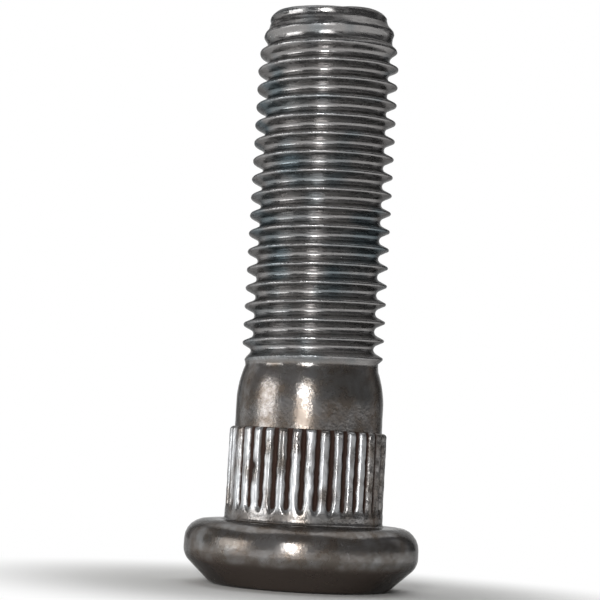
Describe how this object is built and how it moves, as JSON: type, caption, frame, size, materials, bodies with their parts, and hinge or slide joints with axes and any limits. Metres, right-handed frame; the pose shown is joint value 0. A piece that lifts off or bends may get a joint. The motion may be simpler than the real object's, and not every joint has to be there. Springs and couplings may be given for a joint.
{
  "type": "wheel bolt",
  "caption": "Press-in wheel stud: round forged head, straight-knurled collar, plain shank and cone, and a fine threaded length with a rounded lead end.",
  "frame": {"origin": "centre of the flat base of the head, which the stud stands on", "axes": "+Z along the stud's axis, from the head to the thread's tip; +X through the middle of a knurl crest"},
  "size_m": [0.0194, 0.0192, 0.0474],
  "materials": {
    "steel": "cold-forged and thread-rolled alloy steel, thinly oiled, with dull dark grooves and burnished crests"
  },
  "bodies": {
    "root": {"wheel_stud": "steel"}
  },
  "joints": []
}
